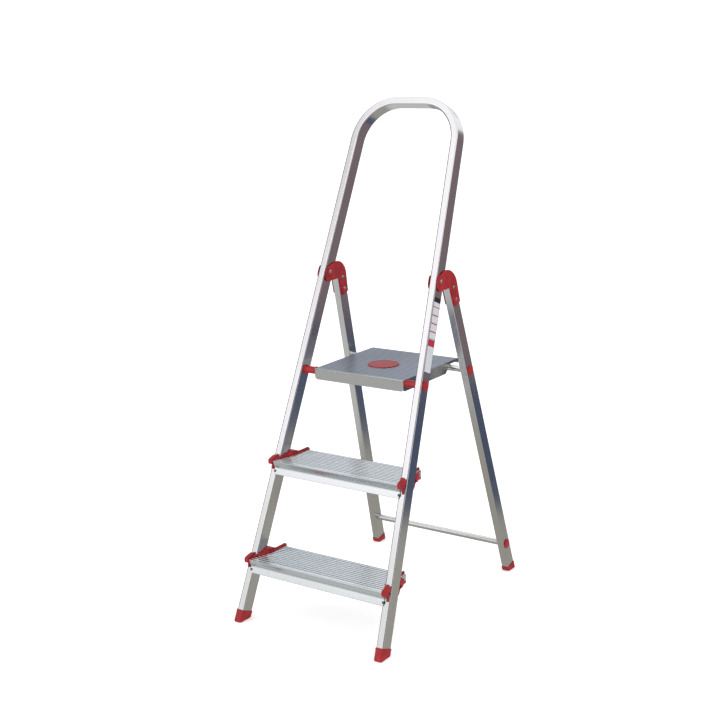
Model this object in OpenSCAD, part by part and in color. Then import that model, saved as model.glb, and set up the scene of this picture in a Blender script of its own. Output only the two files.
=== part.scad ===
// Folding step ladder with two treads, a standing platform and a bent hand rail loop.
// +Z is up and the feet stand on z = 0. The climber faces +Y and stands in front, at -Y.
// The origin is on the floor, in the middle of the ladder's width and of its stance.

/* [Overall] */
// Distance over the feet from front to back, with the ladder open
stance = 686; // [660:1:710]
// Half of the ladder's width over the rails, at the floor
half_width = 227; // [220:1:234]
// How far each side comes inwards per metre of height
side_taper = 54.5; // [50:0.5:58]

/* [Front rail] */
// Lean of the front frame from the vertical, in degrees
front_lean = 22.5; // [22:0.1:23]
// Width of the rail's section, across the ladder
rail_w = 20; // [19:0.5:21]
// Depth of the rail's section, from front to back
rail_d = 38; // [36:0.5:39]
// Corner radius of the rail's section
rail_corner = 3.5; // [2:0.5:5]
// Wall of the rail's tube
rail_wall = 1.4; // [1.2:0.1:2]
// Length of the front frame along its lean, from the floor to the top of the hand rail
rail_length = 1411; // [1395:1:1425]
// Bend radius of the hand rail's corners, to the middle of the tube
bow_radius = 110; // [90:1:120]

/* [Rear leg] */
// Lean of the rear frame from the vertical, in degrees
rear_lean = 15.4; // [15.2:0.1:15.6]
// Depth of a rear leg's section
leg_d = 33; // [31:0.5:34]
// Corner radius of a rear leg's section
leg_corner = 2; // [2:0.5:3.5]

/* [Treads] */
// Height of the lower tread's top
lower_tread_z = 160.5; // [150:0.5:170]
// Height of the upper tread's top
upper_tread_z = 400.5; // [390:0.5:410]
// Depth of a tread, from its nose to its rear edge
tread_d = 125; // [120:1:130]
// How far a tread's nose stands ahead of the rails
tread_nose = 23; // [21:0.5:25]
// Number of anti-slip ribs on a tread
tread_ribs = 12; // [9:1:14]

/* [Platform] */
// Height of the platform's top
platform_z = 626; // [622:1:630]
// Depth of the platform
platform_d = 272; // [268:1:276]
// Width of the platform
platform_w = 272; // [240:1:276]
// Height of the platform's skirt
skirt_h = 28.5; // [26:0.5:29]
// Number of anti-slip ribs on the platform
platform_ribs = 23; // [16:1:24]

/* [Hinges] */
// Height of the hinge pivots
hinge_z = 860; // [855:1:865]
// Thickness of a hinge plate over the rear leg
plate_t = 4; // [3.5:0.5:6]

/* [Crossbars] */
// Outer diameter of the rear frame's crossbars
bar_od = 16; // [14:0.5:16]
// Height of the lower crossbar
lower_bar_z = 83; // [75:1:100]
// Height of the upper crossbar, which carries the platform
upper_bar_z = 608; // [606:1:608]

/* [Hidden] */

ALUMINIUM = [0.80, 0.81, 0.83];
TREAD_ALUMINIUM = [0.76, 0.79, 0.81];
RED = [0.72, 0.10, 0.12];
STEEL = [0.62, 0.63, 0.65];
DARK = [0.20, 0.20, 0.22];
WHITE = [0.92, 0.92, 0.92];

$fn = 64;
FIT = 0.05;            // radial clearance of a running fit
GAP = 0.15;            // clearance between pieces that are fixed to each other
EPS = 1;               // how far a cutter runs past the surface that it cuts
BIG = 400;             // size of a block that cuts off one side of a piece

taper = side_taper / 1000;
foot_wall = 2;

// Front frame: a plane that leans back. In it, x is across, y is the depth and z runs along the rail.
front_y = -stance / 2 + foot_wall / cos(front_lean);
front_splay = atan(taper * cos(front_lean));
rail_x = half_width - rail_w / 2;

// Rear frame: a plane that leans forwards, with the rear leg's front face at y = 0.
rear_y = stance / 2 - (leg_d + foot_wall) / cos(rear_lean);
rear_splay = atan(taper * cos(rear_lean));

function rail_front_y(z) = front_y + z * tan(front_lean);
function rail_axis_y(z) = rail_front_y(z) + rail_d / 2 / cos(front_lean);
function rail_outer_x(z) = half_width - z * taper;
function rail_inner_x(z) = rail_outer_x(z) - rail_w / cos(front_splay);
function leg_front_y(z) = rear_y - z * tan(rear_lean);
function leg_axis_y(z) = leg_front_y(z) + leg_d / 2 / cos(rear_lean);
function leg_outer_x(z) = half_width - z * taper;

// Hinge pivot, and the same point in the rear frame's plane
hinge_y = rail_axis_y(hinge_z);
pivot_n = (hinge_y - rear_y) * cos(rear_lean) + hinge_z * sin(rear_lean);
pivot_s = hinge_z * cos(rear_lean) - (hinge_y - rear_y) * sin(rear_lean);
hinge_offset = leg_d / 2 - pivot_n;      // leg axis behind the pivot
pin_r = 4;
hinge_play = 1.2;                        // room between a plate and the rail that it turns beside
leg_end_s = pivot_s - 14;                // upper end of the rear leg

// Platform
tray_pivot_z = platform_z - 9;
tray_pivot_y = rail_axis_y(tray_pivot_z);
tray_front_y = tray_pivot_y - 11;
tray_wall = 1.6;
rib_h = 1;
tray_under_z = platform_z - rib_h - tray_wall;
rod_r = 5;
bar_r = bar_od / 2;
bar_wall = 1.2;
upper_bar_y = leg_axis_y(upper_bar_z);
lower_bar_y = leg_axis_y(lower_bar_z);
hook_x = 96;
hook_w = 26;

// Treads
tread_t = 2;
tread_flange = 24;
lip_h = 15.5;
lip_t = 2.4;
fascia_h = 22.5;
web_t = 3;             // bracket wall between the tread's end and the rail
tread_end = 13.5;      // tread's front corner inboard of the rail's outer face

module on_side(side) {
    mirror([side < 0 ? 1 : 0, 0, 0]) children();
}

// ---- sections ----

module rounded_section(w, d, r) {
    square([w - 2 * r, d], center = true);
    square([w, d - 2 * r], center = true);
    for (sx = [-1, 1], sy = [-1, 1])
        translate([sx * (w / 2 - r), sy * (d / 2 - r)]) circle(r = r, $fn = 24);
}

module rail_section(grow = 0) {
    rounded_section(rail_w + 2 * grow, rail_d + 2 * grow, rail_corner + grow);
}

module rail_tube_section() {
    difference() {
        rail_section();
        rail_section(-rail_wall);
    }
}

module leg_section(grow = 0) {
    rounded_section(rail_w + 2 * grow, leg_d + 2 * grow, leg_corner + grow);
}

module leg_tube_section() {
    difference() {
        leg_section();
        leg_section(-rail_wall);
    }
}

// ---- places ----

module in_front_plane() {
    translate([0, front_y, 0]) rotate([-front_lean, 0, 0]) children();
}

// Local frame of the right rail: z along the rail, origin at the floor, on the rail's axis
module at_rail() {
    in_front_plane() translate([rail_x, rail_d / 2, 0]) rotate([0, -front_splay, 0]) children();
}

// Local frame of the right rear leg, in the same way
module at_leg() {
    translate([0, rear_y, 0]) rotate([rear_lean, 0, 0])
        translate([rail_x, leg_d / 2, 0]) rotate([0, -rear_splay, 0]) children();
}

module rail_envelope(grow = GAP) {
    at_rail() linear_extrude(height = rail_length / 2 + BIG) rail_section(grow);
}

module below_floor() {
    translate([0, 0, -BIG / 2]) cube([6 * BIG, 6 * BIG, BIG], center = true);
}

module x_cylinder(x0, x1, y, z, r) {
    translate([x0, y, z]) rotate([0, 90, 0]) cylinder(h = x1 - x0, r = r);
}

// ---- hand rail loop ----

// Corner centres and the ends of the straight rails, in the front frame's plane
bow_s = rail_length - rail_w / 2 - bow_radius;
bend_s = bow_s + bow_radius * sin(front_splay);
bow_x = rail_x - bend_s * tan(front_splay) - bow_radius * cos(front_splay);
bend_angle = 90 - front_splay;
rail_start = 20;       // the tube ends this far above the sole, inside the foot
straight_l = bend_s / cos(front_splay) - rail_start;
bend_skin = 0.05;      // the bent lengths are this much fuller all round
bend_overlap = 1.5;    // and the straight lengths end this far inside them

module bent_tube_section() {
    difference() {
        rail_section(bend_skin);
        rail_section(-rail_wall - bend_skin);
    }
}

module rail_holes() {
    x_cylinder(0, BIG, hinge_y, hinge_z, pin_r + FIT);
    x_cylinder(0, BIG, tray_pivot_y, tray_pivot_z, rod_r + FIT);
    for (z = [lower_tread_z, upper_tread_z])
        rivet_places(z) cylinder(h = 4 * tread_rivet_l, r = tread_rivet_r + FIT, center = true);
}

module rail_side() {
    difference() {
        at_rail() translate([0, 0, rail_start])
            linear_extrude(height = straight_l + bend_overlap) rail_tube_section();
        rail_holes();
    }
    in_front_plane() translate([bow_x, rail_d / 2, bow_s]) rotate([90, 0, 0])
        rotate([0, 0, front_splay]) rotate_extrude(angle = bend_angle, $fn = 96)
            translate([bow_radius, 0]) bent_tube_section();
}

module rail_loop() {
    color(ALUMINIUM) {
        for (side = [-1, 1]) on_side(side) rail_side();
        in_front_plane() translate([0, rail_d / 2, bow_s + bow_radius]) rotate([0, 90, 0])
            linear_extrude(height = 2 * (bow_x + bend_overlap), center = true) rail_tube_section();
    }
}

// ---- feet ----

front_foot_s = 33.5;   // upper edge of the front foot along the rail
rear_foot_s = 12;
leg_start = 5;
plug_l = 26;           // how far a foot's plug reaches into the tube

module front_foot(side) {
    color(RED) on_side(side) difference() {
        at_rail() {
            translate([0, 0, -BIG / 8]) linear_extrude(height = BIG / 8 + rail_start - GAP)
                rail_section(foot_wall);
            translate([0, 0, rail_start - EPS]) linear_extrude(height = front_foot_s - rail_start + EPS)
                difference() {
                    rail_section(foot_wall);
                    rail_section(GAP);
                }
            translate([0, 0, rail_start - EPS]) linear_extrude(height = plug_l + EPS)
                rail_section(-rail_wall - GAP);
        }
        below_floor();
        foot_grooves(front_y - EPS, rail_d);
    }
}

module rear_foot(side) {
    color(RED) on_side(side) difference() {
        at_leg() {
            translate([0, 0, -BIG / 8]) linear_extrude(height = BIG / 8 + leg_start - GAP)
                leg_section(foot_wall);
            translate([0, 0, leg_start - EPS]) linear_extrude(height = rear_foot_s - leg_start + EPS)
                difference() {
                    leg_section(foot_wall);
                    leg_section(GAP);
                }
            translate([0, 0, leg_start - EPS]) linear_extrude(height = plug_l + EPS)
                leg_section(-rail_wall - GAP);
        }
        below_floor();
        foot_grooves(rear_y - EPS, leg_d);
    }
}

// Grip grooves across a sole
groove_pitch = 9;
groove_w = 2;
groove_h = 1.2;

module foot_grooves(y0, depth) {
    for (i = [1 : floor(depth / groove_pitch)])
        translate([half_width - 2 * rail_w, y0 + i * groove_pitch, -EPS])
            cube([3 * rail_w, groove_w, groove_h + EPS]);
}

// ---- treads ----

// Side profile of a tread, with the nose's top at the origin, y to the back and z up
fascia_back = tread_nose - lip_t - fascia_h * tan(front_lean) - GAP;
lip_back = fascia_back - lip_h * tan(front_lean);
nose_r = 1.6;
fascia_slope = fascia_back / (fascia_h - nose_r);   // step back per unit of height, below the nose
screw_r = 1.9;
screw_head_r = 3.2;
screw_l = 3.4;
screw_inset = 3.6;      // fascia screws, outboard of the rail's inner face
screw_drop = 16.5;      // and below the tread's top
tread_rivet_r = 2;
tread_rivet_inset = 3.5;   // tread rivets, outboard of the rail's inner face
tread_rivet_l = lip_t + rail_wall + 2;  // from under the head into the rail
tread_return = 10;
stiffener_h = 14;
stiffener_at = [0.35, 0.65];   // shares of the tread's depth
rib_margin = 10;       // nose bead and groove before the first rib

module tread_profile() {
    plate_z = -rib_h - tread_t;
    pitch = (tread_d - rib_margin) / tread_ribs;
    translate([nose_r, -nose_r]) circle(r = nose_r);
    polygon([
        [nose_r, 0], [0, -nose_r], [fascia_back, -fascia_h], [lip_back, -fascia_h - lip_h],
        [lip_back + lip_t, -fascia_h - lip_h], [fascia_back + lip_t, -fascia_h], [nose_r + 2.6, plate_z],
        [tread_d - tread_t, plate_z], [tread_d - tread_t, -tread_flange + tread_t],
        [tread_d - tread_return, -tread_flange + tread_t], [tread_d - tread_return, -tread_flange],
        [tread_d, -tread_flange], [tread_d, -rib_h], [nose_r + 2, -rib_h]
    ]);
    for (i = [0 : tread_ribs - 1])
        translate([rib_margin + i * pitch, plate_z / 2]) square([pitch / 2, -plate_z / 2]);
    for (share = stiffener_at)
        translate([share * tread_d, -stiffener_h]) square([tread_t, stiffener_h - rib_h - EPS]);
}

function nose_y(z) = rail_front_y(z) - tread_nose;

module tread(z) {
    width = rail_outer_x(z) - tread_end;
    color(TREAD_ALUMINIUM) difference() {
        translate([0, nose_y(z), z]) rotate([90, 0, 90])
            linear_extrude(height = 2 * width, center = true) tread_profile();
        for (side = [-1, 1]) on_side(side) at_rail()
            translate([-rail_w / 2 - web_t - GAP, -rail_d / 2 - FIT, -EPS])
                cube([2 * rail_w, 2 * BIG, 2 * BIG]);
        for (side = [-1, 1]) on_side(side) {
            rivet_places(z) cylinder(h = 4 * EPS + lip_t, r = tread_rivet_r + FIT, center = true);
            screw_places(z) cylinder(h = 4 * lip_t, r = screw_r + FIT, center = true);
        }
    }
}

// ---- tread brackets ----

outer_reveal = 1.2;     // the arms stop this far inside the rail's outer face
arm_front = 3;         // the front arm stands this far ahead of the tread's nose
arm_back = 21;         // the rear arm reaches this far behind the rail
arm_drop = 10;         // and both hang this far below the tread's top
strip_rise = 9;        // height of the bracket over the tread, beside the rail
rear_rise = 5;         // and at its rear end
rear_strip_w = 7;
strip_in = 10.5;       // the strip's rear part starts this far inboard of the rail
strip_bends = [[-13, 52], [6, 14]];    // its inner edge: [x from the rail's inner face, y from the nose]
strip_rear_y = 80;     // where the inner edge becomes straight
web_l = 54;            // depth of the web between the tread and the rail
tail_drop = 26;
tail_w = 6.5;
tail_t = 6.5;
tail_l = 26;
front_tail_from = 36;   // lower ends of the tails, along the rail from the tread's level
rear_tail_from = 19;
rail_cut = rail_d / cos(front_lean);   // the rail's depth along y

// Side view, with the tread's nose at the origin
module bracket_side_view() {
    arm_end = tread_nose + rail_cut + arm_back;
    polygon([
        [-arm_front, -arm_drop + 1.5], [-arm_front + 1.5, -arm_drop], [tread_d + 3, -arm_drop],
        [tread_d + 7, -arm_drop + 4], [tread_d + 7, 1], [tread_d + 3, rear_rise], [arm_end + 2, rear_rise],
        [arm_end - 2, strip_rise], [tread_nose, strip_rise], [2, strip_rise - 2], [-arm_front, 3]
    ]);
}

// View from above, with y = 0 at the tread's nose
module bracket_top_view(inner, outer) {
    arm_end = tread_nose + rail_cut + arm_back;
    strip_x = inner - strip_in;
    polygon([
        [inner + 7, -arm_front], [outer, -arm_front], [outer, arm_end], [strip_x, arm_end],
        [strip_x, tread_d + 7], [strip_x - rear_strip_w, tread_d + 7],
        [strip_x - rear_strip_w, strip_rear_y], for (p = strip_bends) [inner + p[0], p[1]]
    ]);
}

// View from the front: low towards the ribs
module bracket_front_view(inner, outer) {
    foot_x = inner - strip_in - rear_strip_w;
    polygon([
        [foot_x, -arm_drop], [outer, -arm_drop], [outer, strip_rise], [inner - 7, strip_rise], [foot_x, 2.5]
    ]);
}

module bracket_body(z) {
    inner = rail_inner_x(z);
    outer = rail_outer_x(z) - outer_reveal;
    translate([0, nose_y(z), z]) {
        intersection() {
            rotate([90, 0, 90]) linear_extrude(height = BIG) bracket_side_view();
            translate([0, 0, -BIG / 2]) linear_extrude(height = BIG) bracket_top_view(inner, outer);
            translate([0, BIG / 2, 0]) rotate([90, 0, 0]) linear_extrude(height = BIG)
                bracket_front_view(inner, outer);
        }
        // web between the tread's end and the rail; it ends ahead of the folded rear leg
        translate([inner - web_t, tread_nose, -tail_drop]) cube([web_t + EPS, web_l, tail_drop]);
    }
    // tails that hug the rail's front and back
    tail_x = rail_w / 2 - tail_w - outer_reveal;
    at_rail_level(z) {
        translate([tail_x, -rail_d / 2 - tail_t, -front_tail_from]) cube([tail_w, tail_t, tail_l]);
        translate([tail_x, rail_d / 2, -rear_tail_from]) cube([tail_w, tail_t, tail_l]);
    }
}

module at_rail_level(z) {
    at_rail() translate([0, 0, z / cos(front_lean) / cos(front_splay)]) children();
}

module bracket(z, side) {
    color(RED) on_side(side) difference() {
        bracket_body(z);
        rail_envelope();
        // space that the tread's end fills
        translate([0, nose_y(z), z]) rotate([90, 0, 90]) {
            linear_extrude(height = rail_inner_x(z) - web_t - GAP / 2) tread_space();
            linear_extrude(height = rail_outer_x(z) - tread_end + GAP) intersection() {
                tread_space();
                translate([-BIG + tread_nose, -BIG / 2]) square([BIG, BIG]);
            }
        }
    }
}

module tread_space() {
    translate([-GAP, -BIG / 2]) square([tread_d + 2 * GAP, BIG / 2 + GAP]);
}

// ---- tread fasteners ----

module rivet_places(z) {
    drop = fascia_h + lip_h / 2;
    at_rail_level(z - drop) translate([-rail_w / 2 + tread_rivet_inset, -rail_d / 2 - lip_t / 2 - GAP, 0])
        rotate([90, 0, 0]) children();
}

module tread_rivets() {
    head_r = 3.6;
    color(DARK) for (side = [-1, 1], z = [lower_tread_z, upper_tread_z]) on_side(side)
        rivet_places(z) {
            translate([0, 0, lip_t / 2 - tread_rivet_l])
                cylinder(h = tread_rivet_l + EPS / 2, r = tread_rivet_r);
            translate([0, 0, lip_t / 2]) rivet_head(head_r, 1.6);
        }
}

// Screws through the fascia's ends; z is along the screw, with the fascia's front face at 0
module screw_places(z) {
    level = z - screw_drop;
    face_y = nose_y(z) + fascia_slope * (screw_drop - nose_r) - FIT;
    translate([rail_inner_x(level) + screw_inset, face_y, level]) rotate([90 + atan(fascia_slope), 0, 0])
        children();
}

module fascia_screws() {
    color(STEEL) for (side = [-1, 1], z = [lower_tread_z, upper_tread_z]) on_side(side)
        screw_places(z) {
            translate([0, 0, -screw_l]) cylinder(h = screw_l + EPS / 2, r = screw_r);
            rivet_head(screw_head_r, 1.2);
        }
}

// ---- platform pivot ----

pivot_outer_x = rail_outer_x(tray_pivot_z);
pivot_inner_x = rail_inner_x(tray_pivot_z);

module pivot_rod() {
    color(STEEL) x_cylinder(-pivot_outer_x + 1, pivot_outer_x - 1, tray_pivot_y, tray_pivot_z, rod_r);
}

module pivot_bushing(side) {
    flange_t = 4;
    tray_side_x = platform_w / 2 + 0.5;
    color(RED) on_side(side) difference() {
        union() {
            x_cylinder(tray_side_x, pivot_inner_x, tray_pivot_y, tray_pivot_z, 9.5);
            x_cylinder(tray_side_x, tray_side_x + flange_t, tray_pivot_y, tray_pivot_z, 11);
            x_cylinder(pivot_inner_x - flange_t, pivot_inner_x + EPS, tray_pivot_y, tray_pivot_z, 12.5);
        }
        x_cylinder(0, BIG, tray_pivot_y, tray_pivot_z, rod_r + FIT);
        rail_envelope(0);
    }
}

cap_r = 13;
cap_h = 5;

// Domed cap on a flat that faces +x, with its rim at x = 0
module domed_cap() {
    dome_r = 24;
    rotate([0, 90, 0]) {
        cylinder(h = cap_h / 2, r = cap_r);
        translate([0, 0, cap_h / 2]) intersection() {
            cylinder(h = cap_h / 2, r = cap_r);
            translate([0, 0, cap_h / 2 - dome_r]) sphere(r = dome_r, $fn = 96);
        }
    }
}

module pivot_cap(side) {
    color(RED) on_side(side) difference() {
        translate([pivot_outer_x - 1, tray_pivot_y, tray_pivot_z]) domed_cap();
        rail_envelope(0);
        x_cylinder(0, pivot_outer_x - 1 + GAP, tray_pivot_y, tray_pivot_z, rod_r + FIT);
    }
}

// ---- hinges ----

lobe_r = 18.8;         // the lobe round the pivot, stretched along the rail
lobe_up = 1.5;
lobe_down = 7;
pad_level = -28;       // from here down, a plate lies beside its leg
strip_level = -42;     // its front edge steps back to a strip above this
plate_end = -88;
hinge_rivet_r = 3;
hinge_rivet_s = [-37.5, -71];   // rivets through a leg, along it from the pivot

// Outline of a hinge plate in the rear frame's plane, with the pivot at the origin
module plate_outline() {
    leg_front = hinge_offset - leg_d / 2;
    leg_rear = leg_front + leg_d + 1.5;
    strip = leg_front + 2;
    rotate([0, 0, 90 - front_lean - rear_lean]) {
        for (end = [-lobe_down, lobe_up]) translate([end, 0]) circle(r = lobe_r);
        translate([-lobe_down, -lobe_r]) square([lobe_down + lobe_up, 2 * lobe_r]);
    }
    intersection() {
        translate([20.5, -30]) circle(r = 48.3);
        translate([0, pad_level]) square([leg_rear, BIG / 4]);
    }
    polygon([[0, -22], [22, -29.5], [strip, strip_level], [leg_rear, pad_level], [leg_rear, -20], [0, -20]]);
    polygon([
        [strip, pad_level], [leg_rear, pad_level], [leg_rear, plate_end + 7], [leg_rear - 4, plate_end + 3],
        [strip + 6, plate_end], [strip, plate_end + 6]
    ]);
}

// The part of the outline that the rail never passes over
module plate_pad() {
    keep = rail_d / 2 + 2;
    intersection() {
        plate_outline();
        translate([keep, -BIG / 2]) square([BIG, BIG]);
        rotate([0, 0, -front_lean - rear_lean]) translate([keep, -BIG / 2]) square([BIG, BIG]);
    }
}

// Hinge plate against the leg's outer face, or against its inner face
module hinge_plate(side, outer) {
    face = outer ? 1 : -1;
    color(RED) on_side(side) difference() {
        at_leg() translate([face * rail_w / 2, -leg_d / 2 + pivot_n, pivot_s / cos(rear_splay)])
            rotate([90, 0, 90]) mirror([0, 0, outer ? 0 : 1]) {
                linear_extrude(height = hinge_play + 1) plate_pad();
                translate([0, 0, hinge_play]) linear_extrude(height = plate_t - hinge_play) plate_outline();
            }
        x_cylinder(0, BIG, hinge_y, hinge_z, pin_r + FIT);
        for (p = leg_rivet_places()) x_cylinder(0, BIG, p[0], p[1], hinge_rivet_r + FIT);
    }
}

// [y, z] of the two rivets that fix the plates to a rear leg
function leg_rivet_places() = [for (s = hinge_rivet_s)
    let (along = pivot_s + s, across = leg_d / 2)
    [rear_y + across * cos(rear_lean) - along * sin(rear_lean),
        across * sin(rear_lean) + along * cos(rear_lean)]];

module rivet_head(r, h) {
    cylinder(h = h * 0.4, r = r);
    translate([0, 0, h * 0.4]) cylinder(h = h * 0.6, r1 = r, r2 = r * 0.6);
}

// Rivet along x with a head at each end
module x_rivet(x0, x1, y, z, shank_r, head_r, head_h) {
    x_cylinder(x0 - EPS / 10, x1 + EPS / 10, y, z, shank_r);
    translate([x1, y, z]) rotate([0, 90, 0]) rivet_head(head_r, head_h);
    translate([x0, y, z]) rotate([0, -90, 0]) rivet_head(head_r, head_h);
}

module hinge_pins() {
    head_r = 6.5;
    leg_axis_x = rail_x - pivot_s * tan(rear_splay);
    reach = rail_w / 2 + plate_t + head_r * taper + 0.1;
    color(STEEL) for (side = [-1, 1]) on_side(side)
        x_rivet(leg_axis_x - reach, leg_axis_x + reach, hinge_y, hinge_z, pin_r, head_r, 2.4);
}

module hinge_rivets() {
    head_r = 5;
    color(STEEL) for (side = [-1, 1]) on_side(side) for (p = leg_rivet_places()) {
        tilt = 2 * head_r * taper + 0.1;
        x0 = rail_inner_x(p[1]) - plate_t - tilt;
        x1 = leg_outer_x(p[1]) + plate_t + tilt;
        x_rivet(x0, x1, p[0], p[1], hinge_rivet_r, head_r, 2);
    }
}

// ---- rear frame ----

module rear_leg(side) {
    color(ALUMINIUM) on_side(side) difference() {
        at_leg() translate([0, 0, leg_start])
            linear_extrude(height = leg_end_s - leg_start) leg_tube_section();
        x_cylinder(0, BIG, lower_bar_y, lower_bar_z, bar_r + FIT);
        x_cylinder(0, BIG, upper_bar_y, upper_bar_z, bar_r + FIT);
        for (p = leg_rivet_places()) x_cylinder(0, BIG, p[0], p[1], hinge_rivet_r + FIT);
    }
}

module crossbar(y, z) {
    reach = leg_outer_x(z) - 1;
    color(ALUMINIUM) difference() {
        x_cylinder(-reach, reach, y, z, bar_r);
        x_cylinder(-reach - EPS, reach + EPS, y, z, bar_r - bar_wall);
    }
}

module bar_cap(y, z, side) {
    color(RED) on_side(side) difference() {
        union() {
            translate([leg_outer_x(z) - 1, y, z]) domed_cap();
            x_cylinder(leg_outer_x(z) - 12, leg_outer_x(z), y, z, bar_r - bar_wall - FIT);
        }
        difference() {
            at_leg() linear_extrude(height = 2 * BIG) leg_section();
            x_cylinder(0, BIG, y, z, bar_r - bar_wall);
        }
        difference() {
            x_cylinder(0, leg_outer_x(z) - 1 + GAP, y, z, bar_r + FIT);
            x_cylinder(0, BIG, y, z, bar_r - bar_wall - FIT / 2);
        }
    }
}

// ---- platform ----

skirt_corner = 9;
bead_r = 2.2;          // rounded front edge
tray_margin = [8, 4];  // plain strips before the first and behind the last rib
tray_back_h = 13;      // rear flange

// Front elevation of the skirt, with the top middle at the origin
module skirt_outline(inset = 0) {
    w = platform_w / 2 - inset;
    h = skirt_h - inset;
    translate([-w, -h + skirt_corner]) square([2 * w, h - skirt_corner]);
    translate([-w + skirt_corner, -h]) square([2 * (w - skirt_corner), h]);
    for (side = [-1, 1]) translate([side * (w - skirt_corner), -h + skirt_corner]) circle(r = skirt_corner);
}

// Side view of the tray's side flange: it ends ahead of the crossbar and goes on as a narrow edge
module side_flange_outline() {
    edge_h = 6.5;
    cut_y = upper_bar_y - tray_front_y - 26;
    polygon([[0, 0], [0, -skirt_h], [cut_y, -skirt_h], [cut_y + 24, -edge_h],
        [platform_d, -edge_h], [platform_d, 0]]);
}

module tray_top_profile() {
    pitch = (platform_d - tray_margin[0] - tray_margin[1]) / platform_ribs;
    translate([bead_r, -bead_r]) circle(r = bead_r);
    translate([bead_r, -rib_h - tray_wall]) square([platform_d - bead_r, tray_wall]);
    for (i = [0 : platform_ribs - 1])
        translate([tray_margin[0] + i * pitch, -rib_h - EPS / 2]) square([pitch / 2, rib_h + EPS / 2]);
    translate([platform_d - tray_wall, -tray_back_h]) square([tray_wall, tray_back_h - rib_h]);
}

module platform_tray() {
    color(TREAD_ALUMINIUM) difference() {
        translate([0, tray_front_y, platform_z]) {
            rotate([90, 0, 90]) linear_extrude(height = platform_w, center = true) tray_top_profile();
            translate([0, tray_wall + 0.4, -rib_h]) rotate([90, 0, 0])
                linear_extrude(height = tray_wall) skirt_outline();
            for (side = [-1, 1]) on_side(side) translate([platform_w / 2 - tray_wall, 0.6, -rib_h])
                rotate([90, 0, 90]) linear_extrude(height = tray_wall) intersection() {
                    side_flange_outline();
                    union() {
                        translate([skirt_corner, -BIG / 2]) square([BIG, BIG]);
                        translate([0, -skirt_h + skirt_corner]) square([BIG, BIG]);
                    }
                }
        }
        x_cylinder(-BIG, BIG, tray_pivot_y, tray_pivot_z, rod_r + FIT);
        translate([0, badge_y, tray_under_z - EPS]) cylinder(h = BIG / 8, r = badge_hole_r);
    }
}

badge_r = 41;
badge_hole_r = badge_r - 8;
badge_h = 1.4;         // height of its straight edge over the platform
badge_bevel = [1.2, 0.8];
badge_y = tray_front_y + platform_d / 2 - 18;

module platform_badge() {
    color(RED) translate([0, badge_y, 0]) {
        translate([0, 0, platform_z]) cylinder(h = badge_h, r = badge_r, $fn = 96);
        translate([0, 0, platform_z + badge_h])
            cylinder(h = badge_bevel[1], r1 = badge_r, r2 = badge_r - badge_bevel[0], $fn = 96);
        translate([0, 0, tray_under_z]) cylinder(h = platform_z - tray_under_z + EPS, r = badge_hole_r - GAP);
    }
}

// Saddle under the tray that drops over the upper crossbar; its front side is open for the bar
module bar_hook(side) {
    exit_angle = 30;
    seat_r = bar_r + 0.3;
    wall_front = 8;
    wall_back = 6;
    lip = 2;
    color(RED) on_side(side) difference() {
        translate([hook_x - hook_w / 2, upper_bar_y - bar_r - wall_front, upper_bar_z - bar_r - lip])
            cube([hook_w, 2 * bar_r + wall_front + wall_back, tray_under_z - upper_bar_z + bar_r + lip]);
        x_cylinder(0, BIG, upper_bar_y, upper_bar_z, seat_r);
        for (angle = [0, exit_angle, 2 * exit_angle])
            translate([0, upper_bar_y, upper_bar_z]) rotate([-angle, 0, 0])
                translate([0, -seat_r, -BIG]) cube([BIG, 2 * seat_r, BIG]);
        hook_rivet_places() cylinder(h = 4 * hook_rivet_l, r = hook_rivet_r + FIT);
    }
}

// Axes of the rivets that hold a hook under the tray, from a depth below the tray upwards
hook_rivet_dx = 8;
hook_rivet_r = 2;
hook_rivet_l = 6;

module hook_rivet_places() {
    for (dx = [-hook_rivet_dx, hook_rivet_dx])
        translate([hook_x + dx, upper_bar_y, tray_under_z - hook_rivet_l]) children();
}

module hook_rivets() {
    color(STEEL) for (side = [-1, 1]) on_side(side)
        hook_rivet_places() cylinder(h = hook_rivet_l, r = hook_rivet_r);
}

// ---- sticker ----

sticker_from = 656;
sticker_to = 830;
sticker_margin = 7;
sticker_t = 0.3;

module rail_sticker() {
    color(WHITE) at_rail()
        translate([rail_w / 2, -rail_d / 2 + sticker_margin, sticker_from / cos(front_lean)])
            cube([sticker_t, rail_d - 2 * sticker_margin, (sticker_to - sticker_from) / cos(front_lean)]);
}

// ---- nodes ----

rail_loop();
front_foot(-1);  // front_foot_left
front_foot(1);  // front_foot_right
tread(lower_tread_z);  // lower_tread
tread(upper_tread_z);  // upper_tread
bracket(lower_tread_z, -1);  // lower_bracket_left
bracket(lower_tread_z, 1);  // lower_bracket_right
bracket(upper_tread_z, -1);  // upper_bracket_left
bracket(upper_tread_z, 1);  // upper_bracket_right
fascia_screws();
tread_rivets();
pivot_rod();
pivot_bushing(-1);  // pivot_bushing_left
pivot_bushing(1);  // pivot_bushing_right
pivot_cap(-1);  // pivot_cap_left
pivot_cap(1);  // pivot_cap_right
hinge_pins();
rail_sticker();
rear_leg(-1);  // rear_leg_left
rear_leg(1);  // rear_leg_right
rear_foot(-1);  // rear_foot_left
rear_foot(1);  // rear_foot_right
hinge_plate(-1, true);  // hinge_plate_left_outer
hinge_plate(-1, false);  // hinge_plate_left_inner
hinge_plate(1, true);  // hinge_plate_right_outer
hinge_plate(1, false);  // hinge_plate_right_inner
hinge_rivets();
crossbar(lower_bar_y, lower_bar_z);  // lower_crossbar
crossbar(upper_bar_y, upper_bar_z);  // upper_crossbar
bar_cap(lower_bar_y, lower_bar_z, -1);  // lower_bar_cap_left
bar_cap(lower_bar_y, lower_bar_z, 1);  // lower_bar_cap_right
bar_cap(upper_bar_y, upper_bar_z, -1);  // upper_bar_cap_left
bar_cap(upper_bar_y, upper_bar_z, 1);  // upper_bar_cap_right
platform_tray();
platform_badge();
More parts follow.
